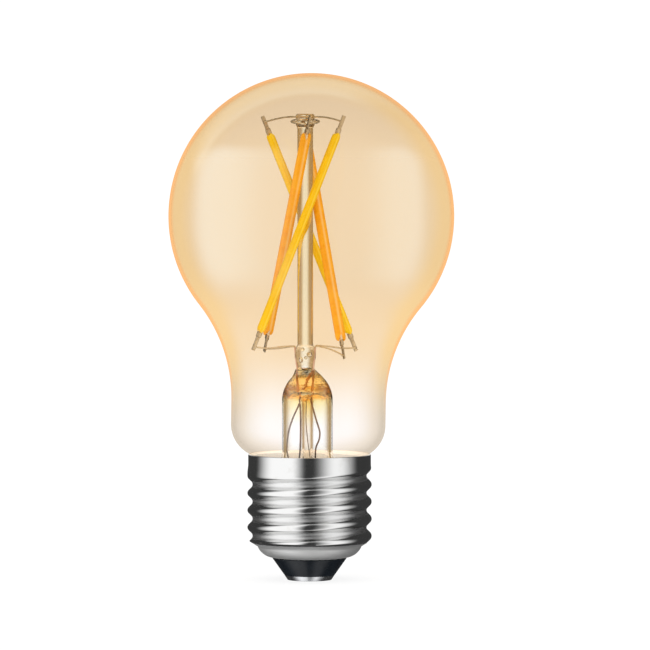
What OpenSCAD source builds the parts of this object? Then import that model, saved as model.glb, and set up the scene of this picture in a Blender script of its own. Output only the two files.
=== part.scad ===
// Filament smart lamp: amber A60 glass globe on an E27 screw cap, with two cool and two warm
// LED filaments round a glass pillar, and the driver and radio boards inside the cap.
// Origin: centre of the outer face of the centre contact. +Z runs up the lamp's axis.
// Millimetres. The viewer's side is -Y.

/* [Globe] */
// Radius of the round part of the globe
globe_r = 30.1; // [29.5:0.1:30.7]
// Height of the globe's widest point above the contact
globe_z = 76.8; // [76:0.1:78]
// Radius of the straight neck
neck_r = 16.3; // [15.8:0.1:16.6]
// Radius of the hollow curve between the globe and the neck
waist_r = 31.9; // [30:0.1:34]
// Thickness of the blown glass
glass_t = 0.5; // [0.4:0.1:0.7]
// Lean of the globe from the cap's axis, in degrees
globe_lean = 0.86; // [0:0.01:1]

/* [Stem] */
// Outer radius of the flare tube
flare_r = 5.35; // [5.2:0.05:5.6]
// Radius of the glass pillar that the filaments stand round
pillar_r = 1.65; // [1.4:0.05:1.7]
// Height of the pillar's top end
pillar_top_z = 95.6; // [94:0.1:95.8]
// How far the flare sits to the left of the cap's axis
flare_shift = 0.45; // [0.4:0.01:0.5]
// How far the pillar sits to the left of the cap's axis
pillar_shift = 0.9; // [0.8:0.01:1]

/* [Filaments] */
// Width of the silicone coat, across the flat of its strip
coat_w = 1.7; // [1.5:0.05:1.9]
// Thickness of the silicone coat, through its strip
coat_t = 2.3; // [1.8:0.05:2.4]
// Length of the bare end of each filament
tab_l = 3.9; // [3.5:0.1:5]
// Distance from one light-emitting chip to the next
chip_pitch = 1.6; // [1.4:0.1:2]
// Diameter of the wires that hold the filaments
wire_d = 0.34; // [0.3:0.01:0.45]

/* [Screw cap] */
// Radius over the thread's crests
crest_r = 13.12; // [13:0.01:13.2]
// Depth of the thread
thread_depth = 1.08; // [0.9:0.01:1.1]
// Pitch of the thread, seven turns to the inch
thread_pitch = 3.629; // [3.62:0.001:3.64]
// Radius of the plain skirt above the thread
skirt_r = 12.95; // [12.9:0.01:13]
// Height of the cap's rim above the contact
rim_z = 26.6; // [26.4:0.1:26.8]
// Thickness of the cap's sheet metal
sheet_t = 0.3; // [0.25:0.01:0.32]

/* [Driver] */
// Width of the driver board
board_w = 19.6; // [18:0.1:19.8]
// Height of the driver board
board_h = 12.4; // [12:0.1:12.5]
// Diameter of the smoothing capacitor
capacitor_d = 6.3; // [5:0.1:6.4]
// Diameter of the choke's core
choke_d = 6; // [5:0.1:6.2]

/* [Hidden] */

$fn = 96;
fine = 48;

// Globe: the hollow waist curve touches the globe and the straight neck
waist_cr = neck_r + waist_r;
waist_z = globe_z - sqrt(pow(globe_r + waist_r, 2) - pow(waist_cr, 2));
waist_a = atan2(globe_z - waist_z, waist_cr);
shoulder_r = 7;
shoulder_z = 32.8;
shoulder_cr = neck_r - shoulder_r;
collar_r = 11.2;
seal_z = 21.4;

// Stem
dome_r = 7;
dome_z = 37.8;
dome_a = 45;
cone_top_z = dome_z + (flare_r - dome_r) / tan(dome_a) + dome_r / sin(dome_a);
cavity_r = 2.1;
cavity_z = 37.7;
flare_t = 0.8;
flare_turn_z = 27.3;
rim_gap = 0.02;
press_r = 1.8;
press_foot_z = 39.5;
press_top_z = 49.5;
exhaust_r = 1.25;
exhaust_bore_r = 0.85;
exhaust_tip_z = 17;

// Filament details
strip_w = 0.8;
strip_t = 0.4;
strip_bare = 0.8;
chip_w = 0.5;
chip_l = 1;
chip_t = 0.12;
tab_w = 0.85;
tab_t = 0.25;
clip_w = 1.1;
clip_t = 0.8;
coat_sides = 24;

// Upper end and lower end of each filament, named by where its upper end is
cool_left = [[-9.9, 0, 97.8], [9.9, 8.8, 47.9]];
cool_right = [[7.3, 0, 97.9], [-11.8, -8.8, 49]];
warm_front = [[0.1, -8.5, 98], [-9.65, 10.7, 47.6]];
warm_back = [[-1.6, 8.5, 98], [7.3, -10.7, 47.3]];

// Distance from a filament's end to where a wire is welded to its tab
top_weld = 1.3;
foot_weld = 0.7;

// Upper and lower end of each wire that is sealed into the press
common_seal = [[-3.1, -0.4, 49.1], [-1.95, -1.6, 39.2]];
warm_seal = [[1.2, -0.8, 49.1], [0.3, -1.45, 39.2]];
cool_seal = [[1.2, 0.9, 49.1], [-0.8, 1.85, 39.2]];
seal_r = 0.2;

// Screw cap
// The thread's crest and root are arcs of one radius, joined by straight flanks
arc_r = 0.9;
half_pitch = thread_pitch / 2;
arc_lap = 2 * arc_r - thread_depth;
flank_a = asin(2 * arc_r / norm([half_pitch, arc_lap])) - atan2(arc_lap, half_pitch);
crest_z = 20.15;
cap_sides = 32;
rows_per_turn = 7;
bowl_cr = 7.6;
bowl_z = 8.4;
bowl_r = 3.63;
bowl_end_a = -21;
bowl_steps = 6;
bowl_slope = 1.6;
bowl_lip_r = bowl_cr + bowl_r * cos(bowl_end_a);
bowl_lip_z = bowl_z + bowl_r * sin(bowl_end_a);

// Insulator and contact
contact_r = 4.65;
contact_top_r = 5.3;
contact_h = 1;
contact_edge = 0.1;
rivet_r = 1.9;
rivet_z = 7.3;
shank_r = 1.2;
insulator_top_z = 6.6;

// Cement ring
cement_z = 24.4;
cement_gap = 0.05;

// Liner
liner_z = 9.5;
liner_h = 10.9;
liner_r = 11.4;
liner_t = 0.45;

// Boards
board_y = 3.2;
board_t = 1;
board_z = 8.2;
board_back_y = board_y + board_t;
capacitor_x = -6;
capacitor_y = -0.6;
capacitor_z = 9.8;
capacitor_h = 9.8;
choke_x = 5.8;
choke_y = -0.9;
choke_z = 8.9;
choke_h = 5.4;
resistor_x = 3.2;
resistor_y = 1.6;
resistor_z = 16.1;
resistor_l = 4.5;
resistor_lead_x = resistor_x + resistor_l / 2;

// Surface-mounted parts: sizes, and lower left corners
rectifier_size = [3.8, 2, 4];
rectifier_at = [-1.7, 1.1, 9.6];
rectifier_pin = [0.6, 0.8, 0.7];
rectifier_pin_y = 2.4;
driver_chip_size = [3, 1.3, 4];
driver_chip_x = 4.9;
driver_chip_z = [9.8, 15.2];
driver_pin = [0.6, 0.5, 0.4];
driver_pin_x = [4.3, 7.9];
driver_pin_z = 0.35;
chip_resistor_size = [0.8, 0.45, 1.6];
chip_resistor_at = [-2.4, board_y - chip_resistor_size.y, 15.1];
chip_resistor_pitch = 1.15;
chip_capacitor_size = [1.6, 0.8, 0.9];
chip_capacitor_at = [-9.2, board_back_y, 8.8];
chip_capacitor_pitch = 2.1;
radio_size = [11, 0.8, 9.6];
radio_at = [-8, board_back_y, 11];
radio_back_y = board_back_y + radio_size.y;
radio_chip_size = [4, 0.9, 4];
radio_chip_x = -5.8;
radio_chip_z = 12.4;
crystal_size = [1.6, 0.6, 2];
crystal_x = -1.45;
crystal_z = 13.2;
shield_size = [7.4, 1.6, 6];
shield_x = -6.9;
shield_z = 11.6;
shield_t = 0.2;
solder_h = 0.5;
solder_r = 0.75;
solder_top_r = 0.45;
solder_places = [[-2, 18.2], [0.3, 18.2], [2.4, 18.2], [3.4, 10.9], [9, 17]];

function unit(v) = v / norm(v);

// n + 1 points along an arc in the radius and height plane
function arc(cr, cz, r, a0, a1, n) =
    [for (i = [0:n]) let (a = a0 + (a1 - a0) * i / n) [cr + r * cos(a), cz + r * sin(a)]];

function backwards(points) = [for (i = [len(points) - 1:-1:0]) points[i]];

// 0 below low, 1 above high, and a smooth rise between them
function ramp(low, high, x) = let (t = min(1, max(0, (x - low) / (high - low)))) t * t * (3 - 2 * t);

// The globe's outline from its top to its seal, set in by t
function globe_line(t) = concat(
    arc(0, globe_z, globe_r - t, 90, -waist_a, 32),
    arc(waist_cr, waist_z, waist_r + t, 180 - waist_a, 180, 14),
    arc(shoulder_cr, shoulder_z, shoulder_r - t, 0, -acos((collar_r - t - shoulder_cr) / (shoulder_r - t)), 12),
    [[collar_r - t, seal_z]]
);

// A smooth route through the given points, with n steps from each point to the next
function smooth(p, n = 3) = let (last = len(p) - 1) concat(
    [for (i = [0:last - 1], k = [0:n - 1])
        let (a = p[max(i - 1, 0)], b = p[i], c = p[i + 1], d = p[min(i + 2, last)], t = k / n)
        b + (c - a) * t / 2 + (2 * a - 5 * b + 4 * c - d) * t * t / 2
            + (3 * b - a - 3 * c + d) * t * t * t / 2],
    [p[last]]
);

// Height of the thread above its root, at a distance u along the axis from a crest
function thread_rise(u) =
    let (bend = arc_r * sin(flank_a))
    u < bend ? thread_depth - arc_r + sqrt(arc_r * arc_r - u * u)
    : u > half_pitch - bend ? arc_r - sqrt(arc_r * arc_r - pow(half_pitch - u, 2))
    : thread_depth - arc_r * (1 - cos(flank_a)) - (u - bend) * tan(flank_a);

// The cap's outer radius at height z and azimuth a: a right-handed groove that fades out below
// the skirt, cut off below by the bowl that closes the cap
function cap_radius(z, a) =
    let (
        turns = (z - crest_z) / thread_pitch - a / 360,
        u = abs(turns - round(turns)) * thread_pitch,
        groove_z = z + (floor(turns) + 0.5 - turns) * thread_pitch,
        cut = (thread_depth - max(0, min(thread_depth, thread_rise(u)))) * (1 - ramp(22.2, 23.6, groove_z)),
        over = crest_r + (skirt_r - crest_r) * ramp(22.5, 24.5, z)
    )
    min(over - cut, bowl_lip_r + (z - bowl_lip_z) * bowl_slope);

// A point of the cap's wall on one row, set in by t
function bowl_point(step, a, t) =
    let (b = -90 + (bowl_end_a + 90) * step / bowl_steps, r = bowl_cr + (bowl_r - t) * cos(b))
    [r * cos(a), r * sin(a), bowl_z + (bowl_r - t) * sin(b)];

function wall_point(z, a, t) = let (r = cap_radius(z, a) - t) [r * cos(a), r * sin(a), z];

thread_rows = [for (z = [bowl_lip_z + 0.4:thread_pitch / rows_per_turn:25]) z];
wall_rows = concat(thread_rows, [25.6, rim_z]);

// Distance along a filament, from its upper end, as a point
function filament_length(ends) = norm(ends[1] - ends[0]);
function filament_point(ends, s) = ends[0] + s * unit(ends[1] - ends[0]);

// Where a wire is welded to the flat of a tab, at a distance along its filament
function weld_point(ends, s) =
    let (d = ends[1] - ends[0], a = atan2(d.y, d.x))
    filament_point(ends, s) + (tab_t + wire_d) / 2 * [sin(a), -cos(a), 0];

function foot(ends) = filament_length(ends) - foot_weld;

// A round wire along a smooth route, as one closed sweep
module wire(points, d, across, sides = 8) {
    route = smooth(points);
    last = len(route) - 1;
    rings = [for (i = [0:last])
        let (
            along = unit(route[min(i + 1, last)] - route[max(i - 1, 0)]),
            u = unit(cross(along, across)),
            v = cross(u, along)
        )
        for (k = [0:sides - 1]) route[i] + d / 2 * (u * cos(360 * k / sides) + v * sin(360 * k / sides))];
    walls = [for (i = [0:last - 1], k = [0:sides - 1])
        let (n = (k + 1) % sides)
        [i * sides + k, i * sides + n, (i + 1) * sides + n, (i + 1) * sides + k]];
    ends = [[for (k = [sides - 1:-1:0]) k], [for (k = [0:sides - 1]) last * sides + k]];
    polyhedron(rings, concat(walls, ends));
}

// A straight rod between two points
module rod(ends, r) {
    d = ends[1] - ends[0];
    translate(ends[0]) rotate([0, acos(d.z / norm(d)), atan2(d.y, d.x)])
    cylinder(h = norm(d), r = r, $fn = fine);
}

// Places its children along a filament: their +Z runs down it and their Y is the strip's thickness
module along_filament(ends) {
    d = ends[1] - ends[0];
    translate(ends[0]) rotate([0, acos(d.z / norm(d)), atan2(d.y, d.x)]) children();
}

// A box centred on X and Y that stands on a height
module bar(w, t, z0, z1) {
    translate([-w / 2, -t / 2, z0]) cube([w, t, z1 - z0]);
}

// A box on a board: its width, how far it stands out, its height and its lower left corner
module part_box(size, corner) {
    translate(corner) cube(size);
}

module seal_rods() {
    for (ends = [common_seal, warm_seal, cool_seal]) rod(ends, seal_r);
}

// Leans its children with the globe, about the middle of its seal
module leaning() {
    translate([-flare_shift, 0, seal_z]) rotate([0, globe_lean, 0]) translate([0, 0, -seal_z]) children();
}

module glass_envelope() {
    color([0.98, 0.8, 0.5, 0.35])
    leaning() rotate_extrude() polygon(concat(globe_line(0), backwards(globe_line(glass_t))));
}

module stem_flare() {
    turn_r = collar_r - glass_t - flare_r - 0.1;
    turn_cr = flare_r + turn_r;
    color([0.9, 0.85, 0.75, 0.5])
    difference() {
        translate([-flare_shift, 0, 0]) rotate_extrude() polygon(concat(
            [[0, cone_top_z]],
            arc(flare_r - dome_r, dome_z, dome_r, dome_a, 0, 10),
            arc(turn_cr, flare_turn_z, turn_r, 180, 270, 10),
            [[collar_r - glass_t - rim_gap, flare_turn_z - turn_r]],
            [[collar_r - glass_t - rim_gap, flare_turn_z - turn_r - flare_t]],
            arc(turn_cr, flare_turn_z, turn_r + flare_t, 270, 180, 10),
            arc(flare_r - flare_t - cavity_r, cavity_z, cavity_r, 0, 90, 10),
            [[0, cavity_z + cavity_r]]
        ));
        translate([-pillar_shift, 0, cavity_z]) cylinder(h = 10, r = press_r);
        seal_rods();
    }
}

module exhaust_tube() {
    tip_r = 0.5;
    color([0.9, 0.9, 0.88, 0.5])
    translate([-flare_shift, 0, 0]) rotate_extrude($fn = fine) polygon(concat(
        [[exhaust_bore_r, press_foot_z], [exhaust_r, press_foot_z]],
        [[exhaust_r, exhaust_tip_z + 2], [exhaust_r - 0.25, exhaust_tip_z + 1]],
        arc(0, exhaust_tip_z + tip_r, tip_r, 0, -90, 5),
        [[0, exhaust_tip_z + 0.8], [exhaust_bore_r - 0.3, exhaust_tip_z + 1.5]],
        [[exhaust_bore_r, exhaust_tip_z + 2.2]]
    ));
}

module stem_press() {
    color([0.85, 0.6, 0.3, 0.6])
    difference() {
        translate([-pillar_shift, 0, 0]) rotate_extrude($fn = fine) polygon([
            [0, press_top_z], [pillar_r, press_top_z], [1.95, 49.1], [2.15, 48.5], [2.25, 47.8],
            [2.24, 47.2], [2.12, 46.6], [1.9, 46.05], [press_r, 45.4], [press_r, press_foot_z],
            [0, press_foot_z]
        ]);
        seal_rods();
    }
}

module centre_pillar() {
    color([0.9, 0.88, 0.8, 0.5])
    translate([-pillar_shift, 0, press_top_z]) cylinder(h = pillar_top_z - press_top_z, r = pillar_r);
}

module pillar_button() {
    color([0.9, 0.88, 0.8, 0.6])
    difference() {
        translate([-pillar_shift, 0, 0]) rotate_extrude($fn = fine) polygon([
            [0, pillar_top_z], [pillar_r, pillar_top_z], [1.95, 95.9], [1.95, 96.2], [2.9, 96.4],
            [3.1, 96.7], [2.9, 97], [1.95, 97.2], [1.95, 98], [1.7, 98.3], [0, 98.3]
        ]);
        translate([-6, 0, 97.65]) rotate([0, 90, 0]) cylinder(h = 10, d = wire_d, $fn = fine);
        translate([-pillar_shift, 5, 96.9]) rotate([90, 0, 0]) cylinder(h = 10, d = wire_d, $fn = fine);
    }
}

module cool_link_wire() {
    color([0.75, 0.68, 0.5])
    wire([
        weld_point(cool_left, top_weld), [-7.2, -0.05, 97.2], [-4.6, 0, 97.65], [-2, 0, 97.65],
        [0.2, 0, 97.65], [2.6, 0, 97.65], [4.8, 0.05, 97.3], weld_point(cool_right, top_weld)
    ], wire_d, [0, 1, 0]);
}

module warm_link_wire() {
    color([0.75, 0.68, 0.5])
    wire([
        weld_point(warm_front, top_weld), [-0.2, -6, 97], [-0.75, -4, 96.9], [-0.9, -2, 96.9],
        [-0.9, 2, 96.9], [-1.05, 4, 96.9], [-1.5, 6, 97], weld_point(warm_back, top_weld)
    ], wire_d, [1, 0, 0]);
}

// The silicone coat, hollow where the strip and its row of chips lie
module filament_coat(ends) {
    low = tab_l;
    high = filament_length(ends) - tab_l;
    along_filament(ends) difference() {
        translate([0, 0, low]) linear_extrude(high - low) polygon([for (k = [0:coat_sides - 1])
            let (a = 360 * k / coat_sides) [coat_w / 2 * cos(a), coat_t / 2 * sin(a)]]);
        bar(strip_w, strip_t, low - 1, high + 1);
        translate([0, strip_t / 2 + chip_t / 2, 0]) bar(chip_w, chip_t, low - 1, high + 1);
    }
}

module filament_strip(ends) {
    along_filament(ends) bar(strip_w, strip_t, tab_l - strip_bare, filament_length(ends) - tab_l + strip_bare);
}

module filament_chips(ends) {
    span = filament_length(ends) - 2 * tab_l;
    count = floor(span / chip_pitch) - 1;
    start = (filament_length(ends) - (count - 1) * chip_pitch - chip_l) / 2;
    along_filament(ends) for (i = [0:count - 1]) {
        z = start + i * chip_pitch;
        translate([0, strip_t / 2 + chip_t / 2, 0]) bar(chip_w, chip_t, z, z + chip_l);
    }
}

// A flat tab at each end, with the clip that grips the strip
module filament_tabs(ends) {
    whole = filament_length(ends);
    grip = tab_l - strip_bare;
    along_filament(ends) difference() {
        union() {
            bar(tab_w, tab_t, 0, grip);
            bar(clip_w, clip_t, grip - 0.2, tab_l - 0.05);
            bar(tab_w, tab_t, whole - grip, whole);
            bar(clip_w, clip_t, whole - tab_l + 0.05, whole - grip + 0.2);
        }
        bar(strip_w, strip_t, grip, whole - grip);
    }
}

cool_glow = [1, 0.8, 0.05];
warm_glow = [1, 0.6, 0.02];
strip_white = [0.93, 0.91, 0.86];
chip_blue = [0.25, 0.4, 0.6];
tab_metal = [0.55, 0.5, 0.42];

module cool_left_coat() { color(cool_glow) filament_coat(cool_left); }
module cool_left_strip() { color(strip_white) filament_strip(cool_left); }
module cool_left_chips() { color(chip_blue) filament_chips(cool_left); }
module cool_left_tabs() { color(tab_metal) filament_tabs(cool_left); }
module cool_right_coat() { color(cool_glow) filament_coat(cool_right); }
module cool_right_strip() { color(strip_white) filament_strip(cool_right); }
module cool_right_chips() { color(chip_blue) filament_chips(cool_right); }
module cool_right_tabs() { color(tab_metal) filament_tabs(cool_right); }
module warm_front_coat() { color(warm_glow) filament_coat(warm_front); }
module warm_front_strip() { color(strip_white) filament_strip(warm_front); }
module warm_front_chips() { color(chip_blue) filament_chips(warm_front); }
module warm_front_tabs() { color(tab_metal) filament_tabs(warm_front); }
module warm_back_coat() { color(warm_glow) filament_coat(warm_back); }
module warm_back_strip() { color(strip_white) filament_strip(warm_back); }
module warm_back_chips() { color(chip_blue) filament_chips(warm_back); }
module warm_back_tabs() { color(tab_metal) filament_tabs(warm_back); }

// From the press to the foot of the cool filament at the front left
module common_inner_lead() {
    color([0.8, 0.75, 0.6])
    wire([
        common_seal[0], [-3.3, -0.5, 49.35], [-5.6, -2.8, 49.4], [-8.6, -5.8, 49.2],
        weld_point(cool_right, foot(cool_right))
    ], wire_d, [0, 0, 1]);
}

// From the common lead to the foot of the warm filament at the back left
module common_branch_wire() {
    color([0.8, 0.75, 0.6])
    wire([
        [-3.5, -0.1, 49.3], [-4.5, 1.6, 49.1], [-6, 4.6, 48.7], [-7.8, 7.6, 48.4],
        weld_point(warm_front, foot(warm_front))
    ], wire_d, [0, 0, 1]);
}

// From the press to the foot of the warm filament at the front right
module warm_inner_lead() {
    color([0.6, 0.48, 0.3])
    wire([
        warm_seal[0], [1.5, -1.2, 49.45], [3.9, -4.9, 49.1], [6, -8, 48.4],
        weld_point(warm_back, foot(warm_back))
    ], wire_d, [0, 0, 1]);
}

// From the press to the foot of the cool filament at the back right
module cool_inner_lead() {
    color([0.7, 0.68, 0.62])
    wire([
        cool_seal[0], [1.6, 1.2, 49.4], [4.2, 3.4, 49.1], [7, 6, 48.6],
        weld_point(cool_left, foot(cool_left))
    ], wire_d, [0, 0, 1]);
}

module seal_wires() {
    color([0.85, 0.5, 0.38]) seal_rods();
}

module common_outer_lead() {
    color([0.5, 0.38, 0.3])
    wire([
        common_seal[1], [-2.02, -1.7, 38.4], [-2.25, -1.8, 37], [-3.3, -1.6, 34.6], [-4.15, -1.25, 32],
        [-4.6, -0.8, 29.5], [-4.7, -0.6, 27], [-3.8, 0.5, 23.6], [-2.4, 2.2, 21.4], [-2, 2.95, 20.2],
        [-2, 2.97, 19.2]
    ], wire_d, [0, 1, 0]);
}

module warm_outer_lead() {
    color([0.5, 0.38, 0.3])
    wire([
        warm_seal[1], [0.37, -1.6, 38.3], [0.6, -1.95, 36.8], [1.4, -2.1, 33.8], [2.05, -2.1, 31.5],
        [1.95, -2, 29.8], [1.3, -1.9, 28], [1.2, -1.6, 25.5], [1.6, 0.2, 23], [0.6, 2.2, 21.4],
        [0.3, 2.95, 20.2], [0.3, 2.97, 19.2]
    ], wire_d, [0, 1, 0]);
}

module cool_outer_lead() {
    color([0.55, 0.36, 0.28])
    wire([
        cool_seal[1], [-0.83, 1.87, 37.5], [-0.9, 1.9, 33.5], [-0.3, 2, 29], [0.6, 2.1, 25.5],
        [1.8, 2.5, 22], [2.4, 2.95, 20.4], [2.4, 2.97, 19.2]
    ], wire_d, [0, 1, 0]);
}

module antenna_wire() {
    color([0.45, 0.34, 0.28])
    wire([
        [-1.95, -2.5, 37.3], [-1.85, -2.6, 35], [-1.85, -2.5, 31], [-1.95, -2.2, 27.5],
        [-2.15, -0.8, 24.8], [-1.9, 1.2, 23.2], [-1.2, 3, 22.3], [-1, 4.2, 21.6], [-1, 4.6, 20.6]
    ], wire_d, [0, 1, 0]);
}

module cap_shell() {
    angles = [for (k = [0:cap_sides - 1]) 360 * k / cap_sides];
    points = concat(
        [for (i = [0:bowl_steps], a = angles) bowl_point(i, a, 0)],
        [for (z = wall_rows, a = angles) wall_point(z, a, 0)],
        [for (z = backwards(wall_rows), a = angles) wall_point(z, a, sheet_t)],
        [for (i = [bowl_steps:-1:0], a = angles) bowl_point(i, a, sheet_t)]
    );
    rows = len(points) / cap_sides;
    faces = [for (i = [0:rows - 1], k = [0:cap_sides - 1], half = [0, 1])
        let (
            a = i * cap_sides + k,
            b = i * cap_sides + (k + 1) % cap_sides,
            c = ((i + 1) % rows) * cap_sides + (k + 1) % cap_sides,
            d = ((i + 1) % rows) * cap_sides + k
        )
        half == 0 ? [a, c, b] : [a, d, c]];
    color([0.78, 0.78, 0.76]) polyhedron(points, faces);
}

module cap_insulator() {
    color([0.06, 0.06, 0.07])
    difference() {
        rotate_extrude() polygon([
            [0, contact_h], [contact_top_r, contact_h], [7.8, 4.5], [7.8, 4.7], [7.55, 4.75], [7.55, 5.15],
            [8, 5.2], [8, 6.3], [7.7, insulator_top_z], [0, insulator_top_z]
        ]);
        translate([0, 0, -1]) cylinder(h = 20, r = shank_r, $fn = fine);
    }
}

module centre_contact() {
    color([0.8, 0.8, 0.78])
    rotate_extrude() polygon([
        [0, 0], [contact_r - contact_edge, 0], [contact_r, contact_edge], [contact_top_r, contact_h],
        [shank_r, contact_h], [shank_r, insulator_top_z], [rivet_r, insulator_top_z],
        [rivet_r, rivet_z - 0.4], [rivet_r - 0.5, rivet_z - 0.1], [0, rivet_z]
    ]);
}

// A ring that fills the space between the cap's rim and the globe's collar and shoulder
module basing_cement() {
    color([0.85, 0.83, 0.78])
    difference() {
        translate([0, 0, cement_z])
        cylinder(h = rim_z - cement_gap - cement_z, r = skirt_r - sheet_t - cement_gap);
        leaning() rotate_extrude() polygon(concat([[0, globe_z + globe_r]], globe_line(0), [[0, seal_z]]));
    }
}

module insulating_liner() {
    color([0.92, 0.92, 0.88])
    translate([0, 0, liner_z]) difference() {
        cylinder(h = liner_h, r = liner_r);
        translate([0, 0, -1]) cylinder(h = liner_h + 2, r = liner_r - liner_t);
    }
}

module driver_board() {
    color([0.1, 0.35, 0.2])
    part_box([board_w, board_t, board_h], [-board_w / 2, board_y, board_z]);
}

module smoothing_capacitor() {
    color([0.12, 0.13, 0.18])
    translate([capacitor_x, capacitor_y, capacitor_z]) rotate_extrude($fn = fine) polygon([
        [0, 0], [capacitor_d / 2 - 0.2, 0], [capacitor_d / 2, 0.2], [capacitor_d / 2, 1.2],
        [capacitor_d / 2 - 0.25, 1.45], [capacitor_d / 2 - 0.25, 1.75], [capacitor_d / 2, 2],
        [capacitor_d / 2, capacitor_h - 0.3], [capacitor_d / 2 - 0.3, capacitor_h], [0, capacitor_h]
    ]);
}

module capacitor_leads() {
    color([0.75, 0.75, 0.75])
    for (x = [capacitor_x - 1.2, capacitor_x + 1.2])
        wire([
            [x, capacitor_y, capacitor_z], [x, capacitor_y + 0.1, 9.2], [x, capacitor_y + 0.9, 8.8],
            [x, 2.2, 8.9], [x, 3.2, 8.9]
        ], 0.45, [1, 0, 0]);
}

module bridge_rectifier() {
    color([0.12, 0.12, 0.12])
    union() {
        part_box(rectifier_size, rectifier_at);
        for (x = [-1.3, 1.1], z = [rectifier_at.z - rectifier_pin.z, rectifier_at.z + rectifier_size.z])
            part_box(rectifier_pin, [x, rectifier_pin_y, z]);
    }
}

module choke_core() {
    color([0.18, 0.17, 0.17])
    translate([choke_x, choke_y, choke_z]) {
        cylinder(h = 1, d = choke_d, $fn = fine);
        cylinder(h = choke_h, d = choke_d * 0.4, $fn = fine);
        translate([0, 0, choke_h - 1]) cylinder(h = 1, d = choke_d, $fn = fine);
    }
}

module choke_winding() {
    color([0.72, 0.36, 0.15])
    translate([choke_x, choke_y, choke_z + 1]) difference() {
        cylinder(h = choke_h - 2, d = choke_d - 0.7, $fn = fine);
        translate([0, 0, -1]) cylinder(h = choke_h, d = choke_d * 0.4, $fn = fine);
    }
}

module fusible_resistor() {
    color([0.3, 0.5, 0.45])
    translate([resistor_x, resistor_y, resistor_z]) rotate([0, 90, 0]) rotate_extrude($fn = fine) polygon([
        [0, 0], [0.9, 0], [1.1, 0.25], [1.1, 1.2], [0.9, 1.5], [0.9, 3], [1.1, 3.3], [1.1, 4.25],
        [0.9, resistor_l], [0, resistor_l]
    ]);
}

module resistor_leads() {
    color([0.75, 0.75, 0.75])
    for (side = [-1, 1])
        wire([
            [resistor_lead_x + side * 2.27, resistor_y, resistor_z],
            [resistor_lead_x + side * 2.7, resistor_y, resistor_z],
            [resistor_lead_x + side * 3, resistor_y + 0.3, resistor_z],
            [resistor_lead_x + side * 3, board_y, resistor_z]
        ], 0.4, [0, 0, 1]);
}

// The two constant-current chips, one for each colour of light
module driver_chips() {
    color([0.1, 0.1, 0.1])
    for (z = driver_chip_z) {
        part_box(driver_chip_size, [driver_chip_x, board_back_y + 0.1, z]);
        for (x = driver_pin_x, k = [0:3])
            part_box(driver_pin, [x, board_back_y, z + driver_pin_z + k]);
    }
}

module chip_resistors() {
    color([0.08, 0.08, 0.09])
    for (k = [0:3])
        part_box(chip_resistor_size, chip_resistor_at + [k * chip_resistor_pitch, 0, 0]);
}

module chip_capacitors() {
    color([0.7, 0.55, 0.4])
    for (k = [0:2])
        part_box(chip_capacitor_size, chip_capacitor_at + [k * chip_capacitor_pitch, 0, 0]);
}

// Low domes where the wires meet the board
module solder_joints() {
    color([0.72, 0.73, 0.74])
    for (p = solder_places)
        translate([p.x, board_y, p.y]) rotate([90, 0, 0])
        cylinder(h = solder_h, r1 = solder_r, r2 = solder_top_r, $fn = fine);
}

module live_wire() {
    color([0.75, 0.15, 0.1])
    wire([
        [0, 0, 7.55], [0.5, 0.5, 8.1], [1.5, 1.7, 8.3], [2.7, 2.6, 8.4], [3.3, 2.9, 9], [3.4, 2.9, 10.1]
    ], 0.5, [1, -1, 0]);
}

module neutral_wire() {
    color([0.15, 0.25, 0.55])
    wire([
        [9, 2.9, 17.8], [9.2, 2.8, 19.6], [10, 2, 20.7], [10.9, 1.1, 20.95], [11.35, 0.6, 21.7],
        [11.38, 0.4, 22.4], [11.38, 0.3, 23]
    ], 0.5, [0, 1, 0]);
}

module radio_board() {
    color([0.08, 0.2, 0.4])
    part_box(radio_size, radio_at);
}

module radio_chip() {
    color([0.1, 0.1, 0.1])
    part_box(radio_chip_size, [radio_chip_x, radio_back_y, radio_chip_z]);
}

module radio_crystal() {
    color([0.8, 0.78, 0.7])
    part_box(crystal_size, [crystal_x, radio_back_y, crystal_z]);
}

module radio_shield() {
    color([0.75, 0.76, 0.78])
    difference() {
        part_box(shield_size, [shield_x, radio_back_y, shield_z]);
        part_box(
            [shield_size.x - 2 * shield_t, shield_size.y - shield_t, shield_size.z - 2 * shield_t],
            [shield_x + shield_t, radio_back_y - 0.001, shield_z + shield_t]
        );
    }
}

glass_envelope();
stem_flare();
exhaust_tube();
stem_press();
centre_pillar();
pillar_button();
cool_link_wire();
warm_link_wire();
cool_left_coat();
cool_left_strip();
cool_left_chips();
cool_left_tabs();
cool_right_coat();
cool_right_strip();
cool_right_chips();
cool_right_tabs();
warm_front_coat();
warm_front_strip();
warm_front_chips();
warm_front_tabs();
warm_back_coat();
warm_back_strip();
warm_back_chips();
warm_back_tabs();
common_inner_lead();
common_branch_wire();
warm_inner_lead();
cool_inner_lead();
seal_wires();
common_outer_lead();
warm_outer_lead();
cool_outer_lead();
antenna_wire();
cap_shell();
cap_insulator();
centre_contact();
basing_cement();
insulating_liner();
driver_board();
smoothing_capacitor();
capacitor_leads();
bridge_rectifier();
choke_core();
choke_winding();
fusible_resistor();
resistor_leads();
driver_chips();
chip_resistors();
chip_capacitors();
solder_joints();
live_wire();
neutral_wire();
radio_board();
radio_chip();
radio_crystal();
radio_shield();
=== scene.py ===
import math

import bmesh
import bpy
from mathutils import Matrix, Vector, noise


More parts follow.
